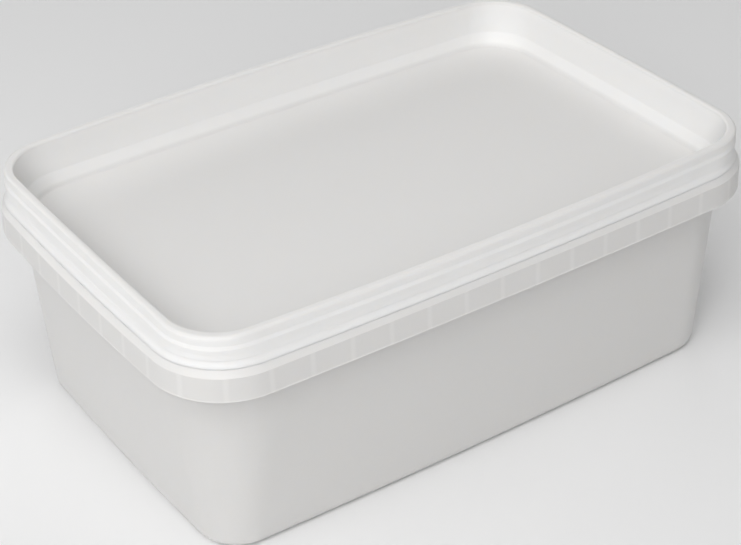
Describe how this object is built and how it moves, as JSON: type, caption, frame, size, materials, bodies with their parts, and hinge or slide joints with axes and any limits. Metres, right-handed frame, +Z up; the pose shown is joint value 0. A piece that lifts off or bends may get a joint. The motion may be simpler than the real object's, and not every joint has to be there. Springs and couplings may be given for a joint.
{
  "type": "ice cream tub",
  "caption": "Rectangular plastic ice cream tub with tapered walls, a ribbed skirt under its ledge and a shut lid with a sunk panel.",
  "frame": {"origin": "middle of the flat foot, on the surface the tub stands on", "axes": "+Z up, X along the long sides, Y across, front at -Y"},
  "size_m": [0.225, 0.147, 0.0856],
  "materials": {
    "tub_plastic": "satin",
    "lid_plastic": "semi-gloss"
  },
  "bodies": {
    "root": {"tub": "tub_plastic", "lid": "lid_plastic"}
  },
  "joints": []
}
